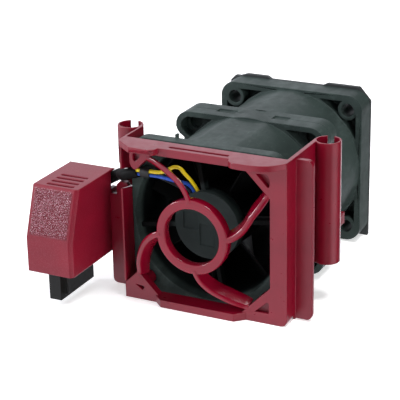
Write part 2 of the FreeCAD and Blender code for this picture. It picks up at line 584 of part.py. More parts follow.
# ---------------------------------------------------------------- motor and rotor, one set per stage
def disc(r, y0, y1, hole=0.0):
    s = Part.makeCylinder(r, y1 - y0, Vector(0, y0, 0), Vector(0, 1, 0))
    if hole:
        s = s.cut(Part.makeCylinder(hole, y1 - y0 + 2, Vector(0, y0 - 1, 0), Vector(0, 1, 0)))
    return s


def blade(yb, k, n, hand):
    """One blade: airfoil sections at growing radius, lofted and trimmed to the hub and the tip."""
    lead, trail = yb + 5.0, yb + 24.3
    wires = []
    for r, turn, th in ((7.7, 52.0, 1.05), (11.0, 50.0, 0.95), (14.6, 47.0, 0.8), (18.4, 43.0, 0.7)):
        mean = []
        for i in range(7):
            s = i / 6.0
            ang = math.radians(turn) * (s - 0.5 + 0.30 * s * (1 - s))
            mean.append((lead + (trail - lead) * s, hand * r * math.sin(ang) * 1.05))
        front, back = [], []
        for i, (y, t) in enumerate(mean):
            a, c = mean[max(i - 1, 0)], mean[min(i + 1, 6)]
            dy, dt = c[0] - a[0], c[1] - a[1]
            m = math.hypot(dy, dt)
            h = th * (0.32 + 0.68 * math.sin(math.pi * min(1.0, 0.12 + 0.88 * (i / 6.0) ** 0.8)))
            front.append(Vector(t + h / 2 * dy / m, y - h / 2 * dt / m, r))
            back.append(Vector(t - h / 2 * dy / m, y + h / 2 * dt / m, r))
        up, dn = Part.BSplineCurve(), Part.BSplineCurve()
        up.interpolate(front)
        dn.interpolate(list(reversed(back)))
        wires.append(Part.Wire([up.toShape(), Part.makeLine(front[-1], back[-1]), dn.toShape(), Part.makeLine(back[0], front[0])]))
    s = Part.makeLoft(wires, True, False)
    s.rotate(Vector(0, 0, 0), Vector(0, 1, 0), 360.0 * k / n)
    return s


def build_stage(tag, yb, turn, n, hand, w):
    sh, so, sl = val(D("shaft_rad")), val(D("bearing_rad")), val(D("sleeve_rad"))
    core, mi, mo, yo = val(D("core_rad")), val(D("magnet_in")), val(D("magnet_out")), val(D("yoke_out"))
    hub, tip, end = val(D("hub_rad")), val(D("blade_tip")), val(D("rotor_end"))
    bt = val(D("base_t"))
    # bearing tube with its inner shoulder
    b = Body(tag + "_bearing_tube")
    b.turned([(yb + bt, D("bearing_rad")), (yb + bt, D("sleeve_rad")), (yb + 15.5, D("sleeve_rad")), (yb + 15.5, D("bearing_rad")),
              (yb + 11.2, D("bearing_rad")), (yb + 11.2, 2.6), (yb + 4.9, 2.6), (yb + 4.9, D("bearing_rad"))])
    # two ball bearings, each a single ring-shaped solid
    f = doc.addObject("Part::Compound", tag + "_bearings")
    rings = []
    for i, y in enumerate((yb + 2.4, yb + 12.5)):
        r = doc.addObject("Part::Feature", "%s_bearing_%d" % (tag, i + 1))
        s = disc(so, y, y + 2.5, val(D("bearing_bore")))
        for face in (y, y + 2.3):
            s = s.cut(Part.makeCylinder(2.9, 0.2, Vector(0, face, 0), Vector(0, 1, 0)).cut(Part.makeCylinder(2.1, 0.2, Vector(0, face, 0), Vector(0, 1, 0))))
        r.Shape = s
        rings.append(r)
    f.Links = rings
    f.Label = tag + "_bearings"
    place(f)
    # conical preload washer between the shoulder and the rear bearing
    w = Body(tag + "_preload_washer")
    w.turned([(yb + 11.2, 3.3), (yb + 11.2, 2.95), (yb + 12.25, 2.3), (yb + 12.5, 2.3), (yb + 12.5, 2.55), (yb + 11.45, 3.3)])
    # stator core: ring, four teeth and pole shoes
    c = disc(sl + 0.75, yb + 5.0, yb + 14.0, sl)
    for k in range(4):
        tooth = Part.makeBox(1.3, 9.0, 5.6 - sl, Vector(-0.65, yb + 5.0, sl + 0.3))
        shoe = disc(core, yb + 5.0, yb + 14.0, 5.5).common(Part.makeBox(5.4, 11.0, 4.0, Vector(-2.7, yb + 4.0, 4.0)))
        piece = tooth.fuse(shoe)
        piece.rotate(Vector(0, 0, 0), Vector(0, 1, 0), 90.0 * k + 20.0)
        c = c.fuse(piece)
    feature(tag + "_stator_core", c.removeSplitter())
    # end insulators, front and back of the core
    ins = []
    for y0, y1 in ((yb + 4.6, yb + 5.0), (yb + 14.0, yb + 14.4)):
        s = disc(sl + 0.75, y0, y1, sl)
        for k in range(4):
            tooth = Part.makeBox(1.3, y1 - y0, 5.6 - sl, Vector(-0.65, y0, sl + 0.3))
            shoe = disc(core - 0.1, y0, y1, 5.5).common(Part.makeBox(5.2, 11.0, 4.0, Vector(-2.6, y0 - 2.0, 4.0)))
            piece = tooth.fuse(shoe)
            piece.rotate(Vector(0, 0, 0), Vector(0, 1, 0), 90.0 * k + 20.0)
            s = s.fuse(piece)
        ins.append(s.removeSplitter())
    feature(tag + "_insulators", Part.makeCompound(ins))
    # four windings, one round each tooth
    coils = []
    for k in range(4):
        outer = Part.makeBox(2.5, 9.8, 5.28 - sl - 0.85, Vector(-1.25, yb + 4.6, sl + 0.85))
        inner = Part.makeBox(1.3, 9.8, 3.0, Vector(-0.65, yb + 4.6, sl))
        s = outer.cut(inner)
        # end turns over the insulators
        s = s.fuse(Part.makeBox(2.5, 0.5, 5.28 - sl - 0.85, Vector(-1.25, yb + 4.1, sl + 0.85)))
        s = s.fuse(Part.makeBox(2.5, 0.5, 5.28 - sl - 0.85, Vector(-1.25, yb + 14.4, sl + 0.85)))
        s.rotate(Vector(0, 0, 0), Vector(0, 1, 0), 90.0 * k + 20.0)
        coils.append(s)
    feature(tag + "_windings", Part.makeCompound(coils))
    # circuit board ring under the stator
    ring_feature(tag + "_circuit_board", Dim(yb + 2.7, repr(yb + 2.7)), Dim(yb + 3.5, repr(yb + 3.5)), D("sleeve_rad") + 1.0, D("skirt_in") - 0.3)
    # shaft with the groove of its retaining ring
    s = Body(tag + "_shaft")
    s.turned([(yb + 1.4, 0.0), (yb + 1.4, D("shaft_rad") - 0.2), (yb + 1.55, D("shaft_rad")), (yb + 1.72, D("shaft_rad")), (yb + 1.72, D("shaft_rad") - 0.4),
              (yb + 2.07, D("shaft_rad") - 0.4), (yb + 2.07, D("shaft_rad")), (yb + 24.0, D("shaft_rad")), (yb + 24.0, 0.0)])
    # retaining ring in the groove
    e = disc(2.3, yb + 1.75, yb + 2.04, sh - 0.4)
    e = e.cut(Part.makeBox(1.6, 2.0, 4.0, Vector(-0.8, yb + 1.0, 0.6)))
    feature(tag + "_retaining_ring", e)
    # ring magnet and steel yoke cup
    ring_feature(tag + "_magnet", Dim(yb + 4.5, repr(yb + 4.5)), Dim(yb + 15.0, repr(yb + 15.0)), D("magnet_in"), D("magnet_out"))
    y = Body(tag + "_rotor_yoke")
    y.turned([(yb + 4.3, D("magnet_out")), (yb + 4.3, D("yoke_out")), (yb + 20.0, D("yoke_out")), (yb + 20.0, D("shaft_rad") + 1.2),
              (yb + 19.3, D("shaft_rad") + 1.2), (yb + 19.3, D("magnet_out"))])
    # impeller: hub cup, boss on the shaft, blades
    hubs = disc(hub, yb + 4.0, yb + end, yo).fuse(disc(hub, yb + end - 1.0, yb + end)).fuse(disc(2.7, yb + 17.0, yb + end, sh))
    hubs = hubs.cut(Part.makeCylinder(sh, 7.0, Vector(0, yb + 17.0, 0), Vector(0, 1, 0)))
    for k in range(6):
        rib = Part.makeBox(0.8, 3.9, yo - 2.4, Vector(-0.4, yb + 20.1, 2.4))
        rib.rotate(Vector(0, 0, 0), Vector(0, 1, 0), 60.0 * k)
        hubs = hubs.fuse(rib)
    trim = disc(tip, yb + 3.0, yb + end + 1.0, (hub + yo) / 2)
    imp = hubs
    for k in range(n):
        imp = imp.fuse(blade(yb, k, n, hand).common(trim))
    feature(tag + "_impeller", imp)


FRONT = val(D("fan_front"))
REAR = FRONT + val(D("stage_len")) + 0.5
build_stage("front", FRONT, 100.0, 7, 1, 0)
build_stage("rear", REAR, 55.0, 5, -1, 0)


# ---------------------------------------------------------------- cable and wires
def route(name, pts, rad, start=None, end=None):
    """Straight runs joined by tangent arcs, each arc as large as its two runs allow."""
    P = [Vector(*p) for p in pts]
    edges, prev, length = [], P[0], 0.0
    radii = []
    for i in range(1, len(P) - 1):
        a, b = P[i - 1] - P[i], P[i + 1] - P[i]
        la, lb = a.Length, b.Length
        a.normalize()
        b.normalize()
        turn = math.pi - a.getAngle(b)
        cut = 0.45 * min(la, lb)
        r = cut / math.tan(turn / 2)
        radii.append(round(r, 2))
        p1, p2 = P[i] + a * cut, P[i] + b * cut
        bis = a + b
        bis.normalize()
        mid = P[i] + bis * (math.hypot(r, cut) - r)
        edges.append(Part.LineSegment(prev, p1).toShape())
        edges.append(Part.Arc(p1, mid, p2).toShape())
        prev = p2
    edges.append(Part.LineSegment(prev, P[-1]).toShape())
    w = Part.Wire(edges)
    d = P[1] - P[0]
    prof = Part.Wire([Part.makeCircle(rad, P[0], d)])
    s = w.makePipeShell([prof], True, False)
    want = math.pi * rad * rad * w.Length
    print("route %s length %.2f radii %s volume %.3f wanted %.3f" % (name, w.Length, radii, s.Volume, want))
    return s, w


def build_leads():
    rs, rw = val(D("sheath_rad")), val(D("wire_rad"))
    sheath, path = route("cable_sheath", [
        (-33.5, -3.0, -6.0), (-33.5, -3.0, -0.6), (-32.6, 1.6, 4.2), (-29.4, 7.1, 6.0), (-24.3, 5.1, 9.0), (-22.9, 2.9, 9.5), (-21.0, 1.0, 10.4), (-17.4, 1.1, 11.75)], rs)
    feature("cable_sheath", sheath)
    # four wires leave the sheath side by side and go over the inlet edge to the window of the motor base
    o = 0.47
    runs = {
        "wire_yellow": [(-17.8, 1.1 - o, 11.75 + o), (-13.6, 1.1 - o, 11.95 + o), (-11.4, 1.3, 12.2), (-9.6, 1.4, 13.1), (-7.8, 1.4, 14.2), (-6.2, 1.4, 14.2), (-5.2, 1.9, 12.6),
                        (-4.5, 3.6, 10.6), (-3.92, 4.6, 8.79), (-2.95, 4.7, 7.3)],
        "wire_blue": [(-17.8, 1.1 - o, 11.75 - o), (-13.6, 1.1 - o, 11.95 - o), (-11.0, 1.2, 11.2), (-8.4, 1.3, 10.8), (-6.8, 2.2, 10.3), (-5.5, 3.9, 9.4), (-4.76, 4.65, 8.24), (-3.9, 4.7, 6.9)],
        "wire_black_1": [(-17.8, 1.1 + o, 11.75 + o), (-13.6, 1.1 + o, 11.95 + o), (-11.0, 2.3, 11.5), (-8.8, 3.0, 10.6), (-7.2, 4.0, 9.2), (-5.60, 4.65, 7.70), (-4.7, 4.7, 6.3)],
        "wire_black_2": [(-17.8, 1.1 + o, 11.75 - o), (-13.6, 1.1 + o, 11.95 - o), (-11.2, 2.3, 10.4), (-9.2, 3.6, 9.0), (-7.6, 4.5, 7.9), (-6.44, 4.65, 7.15), (-5.5, 4.7, 5.7)],
    }
    made = {k: route(k, v, rw)[0].cut(sheath) for k, v in runs.items()}
    feature("wire_yellow", made["wire_yellow"])
    feature("wire_blue", made["wire_blue"])
    feature("wires_black", Part.makeCompound([made["wire_black_1"], made["wire_black_2"]]))
    # sleeve that holds the wires together past the hook
    a, b = Vector(-16.3, 1.1, 11.808), Vector(-13.9, 1.1, 11.934)
    d = b - a
    sleeve = Part.makeCylinder(1.34, d.Length, a, d).cut(Part.makeCylinder(1.13, d.Length + 1, a - d * 0.1, d))
    feature("wire_sleeve", sleeve)


build_leads()

doc.recompute()
os.makedirs("parts", exist_ok=True)
bad = 0
for o in NODES:
    state = [q for q in o.State if q in ("Invalid", "Error")]
    shape = o.Shape
    if state or shape.isNull() or not shape.isValid() or not shape.Solids:
        print("FAULT", o.Label, o.State, "null" if shape.isNull() else "valid %s" % shape.isValid())
        bad += 1
for o in doc.Objects:
    if any(q in ("Invalid", "Error") for q in o.State):
        print("FAULT in", o.Label, o.State)
        bad += 1
if bad:
    raise RuntimeError("%d faults" % bad)
box = FreeCAD.BoundBox()
for o in NODES:
    box.add(o.Shape.BoundBox)
    print("%-24s solids %2d volume %9.2f  box %s" % (o.Label, len(o.Shape.Solids), o.Shape.Volume,
          " ".join("%.2f" % v for v in (o.Shape.BoundBox.XMin, o.Shape.BoundBox.XMax, o.Shape.BoundBox.YMin, o.Shape.BoundBox.YMax, o.Shape.BoundBox.ZMin, o.Shape.BoundBox.ZMax))))
    o.Shape.exportStep("parts/%s.step" % o.Label)
print("nodes", len(NODES), "box", box)
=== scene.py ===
import json
import math
import bpy
import bmesh
from mathutils import Matrix, Vector


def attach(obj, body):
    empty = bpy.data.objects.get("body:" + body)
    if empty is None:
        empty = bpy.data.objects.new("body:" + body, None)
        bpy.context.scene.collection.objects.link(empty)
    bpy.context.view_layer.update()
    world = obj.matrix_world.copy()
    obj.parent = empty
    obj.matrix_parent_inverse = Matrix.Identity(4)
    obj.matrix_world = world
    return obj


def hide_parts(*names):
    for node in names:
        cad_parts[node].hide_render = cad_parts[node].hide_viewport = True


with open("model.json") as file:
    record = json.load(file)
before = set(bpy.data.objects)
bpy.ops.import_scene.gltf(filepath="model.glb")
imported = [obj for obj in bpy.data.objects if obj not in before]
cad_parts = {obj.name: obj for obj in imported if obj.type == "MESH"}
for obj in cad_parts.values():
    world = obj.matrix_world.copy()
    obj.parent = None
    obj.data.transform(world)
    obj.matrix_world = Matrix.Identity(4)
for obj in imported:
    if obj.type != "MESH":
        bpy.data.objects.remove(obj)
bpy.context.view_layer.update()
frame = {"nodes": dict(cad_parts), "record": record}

nodes = frame["nodes"]
OFF = Vector((5.75, -22.2, 20.4))


def W(x, y, z):
    """Working coordinates (mm from the fan axis) to the frame, in metres."""
    return Vector(((x + OFF.x) / 1000.0, (y + OFF.y) / 1000.0, (z + OFF.z) / 1000.0))


# ------------------------------------------------------------------ camera
cam_data = bpy.data.cameras.new("camera")
cam_data.sensor_width = 36.0
cam_data.lens = 132.0525
cam_data.clip_start = 0.01
cam_data.clip_end = 20.0
cam = bpy.data.objects.new("camera", cam_data)
bpy.context.scene.collection.objects.link(cam)
RIGHT = Vector((0.894257, 0.447107, -0.020005))
DOWN = Vector((0.145107, -0.331933, -0.932075))
FWD = Vector((-0.423378, 0.830612, -0.361711))
rot = Matrix(((RIGHT.x, -DOWN.x, -FWD.x), (RIGHT.y, -DOWN.y, -FWD.y), (RIGHT.z, -DOWN.z, -FWD.z))).to_4x4()
cam.matrix_world = Matrix.Translation(W(145.5066, -286.1702, 132.0563)) @ rot
bpy.context.scene.camera = cam


# ------------------------------------------------------------------ node material helpers
class Mat:
    """Short calls for building a node material."""

    def __init__(self, name):
        self.m = bpy.data.materials.new(name)
        self.m.use_nodes = True
        self.t = self.m.node_tree
        self.t.nodes.clear()
        self.out = self.t.nodes.new("ShaderNodeOutputMaterial")
        self.b = self.t.nodes.new("ShaderNodeBsdfPrincipled")
        self.t.links.new(self.b.outputs[0], self.out.inputs[0])
        self.tc = self.t.nodes.new("ShaderNodeTexCoord")
        self.normal = None

    def n(self, kind, **kw):
        x = self.t.nodes.new(kind)
        for k, v in kw.items():
            setattr(x, k, v)
        return x

    def link(self, a, b):
        self.t.links.new(a, b)

    def mapping(self, scale=(1, 1, 1)):
        mp = self.n("ShaderNodeMapping")
        mp.inputs["Scale"].default_value = scale
        self.link(self.tc.outputs["Object"], mp.inputs["Vector"])
        return mp.outputs["Vector"]

    def noise(self, scale, detail=4.0, rough=0.5, stretch=(1, 1, 1)):
        x = self.n("ShaderNodeTexNoise")
        x.inputs["Scale"].default_value = scale
        x.inputs["Detail"].default_value = detail
        x.inputs["Roughness"].default_value = rough
        self.link(self.mapping(stretch), x.inputs["Vector"])
        return x.outputs["Fac"]

    def voronoi(self, scale, feature="F1", rnd=1.0):
        x = self.n("ShaderNodeTexVoronoi", feature=feature)
        x.inputs["Scale"].default_value = scale
        x.inputs["Randomness"].default_value = rnd
        self.link(self.mapping(), x.inputs["Vector"])
        return x.outputs["Distance"]

    def ramp(self, fac, stops):
        x = self.n("ShaderNodeValToRGB")
        e = x.color_ramp.elements
        while len(e) < len(stops):
            e.new(0.5)
        for i, (p, c) in enumerate(stops):
            e[i].position = p
            e[i].color = (c[0], c[1], c[2], 1.0) if hasattr(c, "__len__") else (c, c, c, 1.0)
        self.link(fac, x.inputs["Fac"])
        return x.outputs["Color"]

    def rng(self, fac, lo, hi, a=0.0, b=1.0):
        x = self.n("ShaderNodeMapRange")
        x.inputs["From Min"].default_value = a
        x.inputs["From Max"].default_value = b
        x.inputs["To Min"].default_value = lo
        x.inputs["To Max"].default_value = hi
        self.link(fac, x.inputs["Value"])
        return x.outputs["Result"]

    def math(self, op, a, b):
        x = self.n("ShaderNodeMath", operation=op)
        for i, q in enumerate((a, b)):
            if isinstance(q, (int, float)):
                x.inputs[i].default_value = q
            else:
                self.link(q, x.inputs[i])
        return x.outputs[0]

    def mix(self, fac, a, b):
        x = self.n("ShaderNodeMix", data_type="RGBA")
        for i, q in ((0, fac), (6, a), (7, b)):
            if hasattr(q, "is_linked") or hasattr(q, "links"):
                self.link(q, x.inputs[i])
            elif i == 0:
                x.inputs[i].default_value = q
            else:
                x.inputs[i].default_value = (q[0], q[1], q[2], 1.0)
        return x.outputs[2]

    def bump(self, height, dist, strength=1.0):
        x = self.n("ShaderNodeBump")
        x.inputs["Strength"].default_value = strength
        x.inputs["Distance"].default_value = dist
        self.link(height, x.inputs["Height"])
        if self.normal is not None:
            self.link(self.normal, x.inputs["Normal"])
        self.normal = x.outputs["Normal"]
        self.link(self.normal, self.b.inputs["Normal"])
        return self.normal

    def set(self, **kw):
        for k, v in kw.items():
            key = k.replace("_", " ")
            s = self.b.inputs[key]
            if hasattr(v, "links"):
                self.link(v, s)
            elif hasattr(v, "__len__") and len(v) == 3:
                s.default_value = (v[0], v[1], v[2], 1.0)
            else:
                s.default_value = v
        return self


def plastic(name, base, rough=0.42, vary=0.12, grain=0.00002, grain_scale=3500.0, spec=0.5, coat=0.0, rough_var=0.07, scuff=0.0, duct_painted_shade=None):
    """Moulded plastic: faint colour drift, a fine moulded grain, softly changing gloss, and, when given, painted shade
    on the air duct's wall.
    """
    m = Mat(name)
    slow = m.noise(90.0, 3.0, 0.55, (1.0, 0.5, 1.4))
    dark = tuple(c * (1 - vary) for c in base)
    lite = tuple(min(1.0, c * (1 + vary)) for c in base)
    col = m.ramp(slow, [(0.3, dark), (0.7, lite)])
    if scuff:
        # pale dusty patches and fine rubbed streaks
        dust = m.rng(m.noise(240.0, 6.0, 0.7, (1.0, 0.35, 1.0)), 0.0, scuff, 0.52, 0.72)
        fine = m.rng(m.noise(1500.0, 3.0, 0.6, (1.0, 0.2, 1.0)), 0.0, scuff, 0.6, 0.8)
        pale = tuple(min(1.0, c * 2.2 + 0.02) for c in base)
        col = m.mix(m.math("MAXIMUM", dust, fine), col, pale)
    if duct_painted_shade:
        # painted shade: inside the air duct, from about 3 mm behind the fan's front, the wall is painted a much darker
        # colour
        sep = m.n("ShaderNodeSeparateXYZ")
        m.link(m.tc.outputs["Object"], sep.inputs[0])
        dx = m.math("SUBTRACT", sep.outputs["X"], OFF.x / 1000.0)
        dz = m.math("SUBTRACT", sep.outputs["Z"], OFF.z / 1000.0)
        r = m.math("SQRT", m.math("ADD", m.math("MULTIPLY", dx, dx), m.math("MULTIPLY", dz, dz)), 0.0)
        deep = m.rng(sep.outputs["Y"], 0.0, 1.0, W(0, 2.6, 0).y, W(0, 3.6, 0).y)
        col = m.mix(m.math("MULTIPLY", m.rng(r, 1.0, 0.0, 0.0187, 0.0189), deep), col, duct_painted_shade)
    m.set(Base_Color=col)
    mid = m.noise(420.0, 5.0, 0.6)
    m.set(Roughness=m.rng(mid, rough - rough_var, rough + rough_var, 0.3, 0.7))
    m.b.inputs["Specular IOR Level"].default_value = spec
    m.b.inputs["Coat Weight"].default_value = coat
    m.b.inputs["Coat Roughness"].default_value = 0.25
    m.bump(m.noise(160.0, 3.0, 0.5), 0.00002, 0.5)
    if grain:
        m.bump(m.noise(grain_scale, 2.0, 0.5), grain, 0.6)
    return m.m


def hood_plastic(name, base):
    """The same moulding with a coarse stipple on the sloped front panel, a light one elsewhere; the panel's ground is
    painted darker and its stipple facets pale, as painted glints.
    """
    m = Mat(name)
    slow = m.noise(90.0, 3.0, 0.55, (1.0, 0.5, 1.4))
    ground = m.ramp(slow, [(0.3, tuple(c * 0.9 for c in base)), (0.7, tuple(c * 1.1 for c in base))])
    sep = m.n("ShaderNodeSeparateXYZ")
    m.link(m.tc.outputs["Object"], sep.inputs[0])
    dot = m.n("ShaderNodeVectorMath", operation="DOT_PRODUCT")
    m.link(m.tc.outputs["Normal"], dot.inputs[0])
    dot.inputs[1].default_value = (0.0, -0.942, 0.337)
    slope = m.rng(dot.outputs["Value"], 0.0, 1.0, 0.975, 0.992)
    lo, hi = W(-38.75, 0, -1.9), W(-28.5, 0, 8.75)

    def window(sock, a, b, soft=0.0003):
        return m.math("MULTIPLY", m.rng(sock, 0.0, 1.0, a - soft, a + soft), m.rng(sock, 1.0, 0.0, b - soft, b + soft))

    panel = m.math("MULTIPLY", slope, m.math("MULTIPLY", window(sep.outputs["X"], lo.x, hi.x), window(sep.outputs["Z"], lo.z, hi.z)))
    grains = m.math("ADD", m.voronoi(2900.0), m.noise(3200.0, 2.0, 0.6))
    level = m.rng(panel, 0.10, 1.0)
    # painted glints: pale pink stipple facets on the sloped panel, over a ground painted darker
    glint_facets = m.rng(m.noise(4300.0, 1.0, 0.5), 0.0, 1.0, 0.52, 0.66)
    m.set(Base_Color=m.mix(m.math("MULTIPLY", glint_facets, m.rng(panel, 0.06, 0.60)), m.mix(panel, ground, tuple(c * 0.60 for c in base)), (0.50, 0.23, 0.29)))
    m.set(Roughness=m.rng(panel, 0.42, 0.24))
    m.b.inputs["Specular IOR Level"].default_value = 0.5
    m.bump(m.math("MULTIPLY", grains, level), 0.00014, 1.0)
    m.bump(m.noise(160.0, 3.0, 0.5), 0.00002, 0.5)
    return m.m


def metal(name, base, rough=0.3, turned=False, scale=900.0):
    m = Mat(name)
    s = m.noise(scale, 4.0, 0.6, (1.0, 0.05, 1.0) if not turned else (0.2, 1.0, 0.2))
    m.set(Base_Color=m.ramp(s, [(0.3, tuple(c * 0.85 for c in base)), (0.7, base)]))
    m.set(Roughness=m.rng(s, rough - 0.08, rough + 0.12, 0.3, 0.7))
    m.b.inputs["Metallic"].default_value = 1.0
    m.bump(s, 0.000008, 0.5)
    return m.m


BURGUNDY = (0.184, 0.0008, 0.0128)
MATS = {
    "holder_plastic": plastic("holder_plastic", BURGUNDY, 0.34, 0.10, 0.0, 1900.0, 0.60),
    "hood_plastic": hood_plastic("hood_plastic", BURGUNDY),
    "guard_gloss": plastic("guard_gloss", BURGUNDY, 0.17, 0.10, 0.0, 1900.0, 0.62, rough_var=0.03),
    "connector_plastic": plastic("connector_plastic", (0.010, 0.010, 0.009), 0.42, 0.2, 0.000006, 2200.0, 0.28),
    "contact_metal": metal("contact_metal", (0.80, 0.66, 0.38), 0.28),
    # the last colour is painted shade for the inside of the air duct
    "fan_frame_plastic": plastic("fan_frame_plastic", (0.033, 0.047, 0.043), 0.48, 0.20, 0.000006, 1900.0, 0.13, scuff=0.4, duct_painted_shade=(0.006, 0.008, 0.008)),
    "gasket_rubber": plastic("gasket_rubber", (0.03, 0.034, 0.034), 0.6, 0.2, 0.00002, 3000.0, 0.4),
    "cable_jacket": plastic("cable_jacket", (0.006, 0.0065, 0.0065), 0.6, 0.15, 0.000006, 2200.0, 0.1),
    "sleeve_black": plastic("sleeve_black", (0.014, 0.015, 0.015), 0.48, 0.15, 0.00001, 5200.0),
    "wire_yellow": plastic("wire_yellow", (0.80, 0.58, 0.012), 0.30, 0.06, 0.000006, 6000.0),
    "wire_blue": plastic("wire_blue", (0.012, 0.07, 0.42), 0.30, 0.08, 0.000006, 6000.0),
    "wire_black": plastic("wire_black", (0.012, 0.012, 0.013), 0.32, 0.1, 0.000006, 6000.0),
    "impeller_plastic": plastic("impeller_plastic", (0.005, 0.0055, 0.0055), 0.5, 0.15, 0.00001, 4500.0, 0.15),
    "yoke_steel": metal("yoke_steel", (0.55, 0.56, 0.57), 0.32),
    "magnet_ferrite": plastic("magnet_ferrite", (0.05, 0.048, 0.046), 0.6, 0.2, 0.00002, 2500.0),
    "shaft_steel": metal("shaft_steel", (0.75, 0.76, 0.77), 0.16, True),
    "ring_spring_steel": metal("ring_spring_steel", (0.32, 0.33, 0.36), 0.3),
    "bearing_tube_brass": metal("bearing_tube_brass", (0.80, 0.62, 0.30), 0.25, True),
    "bearing_steel": metal("bearing_steel", (0.80, 0.80, 0.82), 0.15, True),
    "spring_steel": metal("spring_steel", (0.55, 0.56, 0.58), 0.22),
    "core_steel": metal("core_steel", (0.36, 0.37, 0.39), 0.42, True),
    "insulator_plastic": plastic("insulator_plastic", (0.72, 0.70, 0.64), 0.5, 0.05),
    "winding_copper": metal("winding_copper", (0.78, 0.34, 0.14), 0.30, True, 2600.0),
    "board_laminate": plastic("board_laminate", (0.02, 0.16, 0.06), 0.35, 0.1, 0.00001, 2000.0),
}
slot_of = {s["node"]: s["material_slot"] for s in frame["record"]["subparts"]}


def dress(obj, mat):
    obj.data.materials.clear()
    obj.data.materials.append(mat)


for name, obj in nodes.items():
    dress(obj, MATS[slot_of[name]])


def base_plastic(name, base):
    """The fan frame's plastic on a motor base: the cap is dusty; the vanes beyond it get painted shade, near black and
    rougher.
    """
    m = Mat(name)
    sep = m.n("ShaderNodeSeparateXYZ")
    m.link(m.tc.outputs["Object"], sep.inputs[0])
    dx = m.math("SUBTRACT", sep.outputs["X"], OFF.x / 1000.0)
    dz = m.math("SUBTRACT", sep.outputs["Z"], OFF.z / 1000.0)
    r = m.math("SQRT", m.math("ADD", m.math("MULTIPLY", dx, dx), m.math("MULTIPLY", dz, dz)), 0.0)
    # painted shade: beyond about 10 mm from the axis the vanes are painted near black
    vane_painted_shade = m.rng(r, 0.0, 1.0, 0.0096, 0.0106)
    col = m.ramp(m.noise(240.0, 5.0, 0.6), [(0.3, tuple(c * 0.8 for c in base)), (0.7, tuple(c * 1.15 for c in base))])
    m.set(Base_Color=m.mix(vane_painted_shade, col, (0.0022, 0.0026, 0.0025)))
    m.set(Roughness=m.rng(vane_painted_shade, 0.5, 0.75))
    m.b.inputs["Specular IOR Level"].default_value = 0.15
    m.bump(m.noise(900.0, 3.0, 0.5), 0.000006, 0.5)
    return m.m


MATS["motor_base"] = base_plastic("motor_base", (0.017, 0.024, 0.023))
for name in ("front_motor_base", "rear_motor_base"):
    if name in nodes:
        dress(nodes[name], MATS["motor_base"])

# ------------------------------------------------------------------ finished copies of the moulded parts
def refined(name, width, segments=2, angle=34.0, body="module", flat=True):
    """A CAD node again with its hard edges rounded over and its curved faces shaded smooth."""
    bm = bmesh.new()
    bm.from_mesh(nodes[name].data)
    bmesh.ops.remove_doubles(bm, verts=bm.verts, dist=2e-6)
    bmesh.ops.dissolve_degenerate(bm, dist=1e-6, edges=bm.edges)
    bmesh.ops.dissolve_limit(bm, angle_limit=math.radians(0.5), verts=bm.verts, edges=bm.edges)
    bmesh.ops.triangulate(bm, faces=[f for f in bm.faces if len(f.verts) > 4], quad_method="BEAUTY", ngon_method="BEAUTY")
    me = bpy.data.meshes.new(name + "_finished")
    bm.to_mesh(me)
    bm.free()
    o = bpy.data.objects.new(name + "_finished", me)
    bpy.context.scene.collection.objects.link(o)
    mod = o.modifiers.new("edges", "BEVEL")
    mod.width = width / 1000.0
    mod.segments = segments
    mod.limit_method = "ANGLE"
    mod.angle_limit = math.radians(angle)
    mod.use_clamp_overlap = False
    mod.miter_outer = "MITER_ARC"
    me.shade_smooth()
    if flat:
        even = o.modifiers.new("normals", "WEIGHTED_NORMAL")
        even.mode = "FACE_AREA"
        even.weight = 80
    bpy.context.view_layer.update()
    done = bpy.data.meshes.new_from_object(o.evaluated_get(bpy.context.evaluated_depsgraph_get()))
    o.modifiers.clear()
    o.data = done
    dress(o, MATS[slot_of[name]])
    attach(o, body)
    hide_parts(name)
    return o


for name, width in (("fan_holder", 0.14), ("plug_hood", 0.22), ("connector_body", 0.12), ("front_housing", 0.14), ("rear_housing", 0.14), ("front_motor_base", 0.12), ("outlet_gasket", 0.14)):
    if name in nodes:
        piece = refined(name, width)
        if name == "front_motor_base":
            dress(piece, MATS["motor_base"])

# ------------------------------------------------------------------ the guard with smoothly curved spokes
def mesh_object(name, verts, faces):
    me = bpy.data.meshes.new(name)
    me.from_pydata([tuple(v) for v in verts], [], faces)
    bm = bmesh.new()
    bm.from_mesh(me)
    bmesh.ops.recalc_face_normals(bm, faces=bm.faces)
    bm.to_mesh(me)
    bm.free()
    o = bpy.data.objects.new(name, me)
    bpy.context.scene.collection.objects.link(o)
    return o


def curve_through(rows, steps):
    """Rows of numbers joined by a smooth curve that passes through each of them."""
    out = []
    for i in range(len(rows) - 1):
        p0, p1, p2 = rows[max(i - 1, 0)], rows[i], rows[i + 1]
        p3 = rows[min(i + 2, len(rows) - 1)]
        for j in range(steps):
            t = j / steps
            out.append([0.5 * (2 * b + (c - a) * t + (2 * a - 5 * b + 4 * c - d) * t * t + (3 * b - a - 3 * c + d) * t ** 3)
                        for a, b, c, d in zip(p0, p1, p2, p3)])
    out.append(list(rows[-1]))
    return out


def guard_ring(front, depth, r_out, r_in, edge=0.28, n=112):
    prof = []
    for cr, cy, a0 in ((r_out - edge, front + edge, -90), (r_out - edge, front + depth - edge, 0), (r_in + edge, front + depth - edge, 90), (r_in + edge, front + edge, 180)):
        for j in range(4):
            q = math.radians(a0 + 30.0 * j)
            prof.append((cr + edge * math.cos(q), cy + edge * math.sin(q)))
    m = len(prof)
    verts = [W(r * math.cos(2 * math.pi * i / n), y, r * math.sin(2 * math.pi * i / n)) for i in range(n) for r, y in prof]
    faces = [(i * m + j, i * m + (j + 1) % m, ((i + 1) % n) * m + (j + 1) % m, ((i + 1) % n) * m + j) for i in range(n) for j in range(m)]
    return mesh_object("guard_ring", verts, faces)


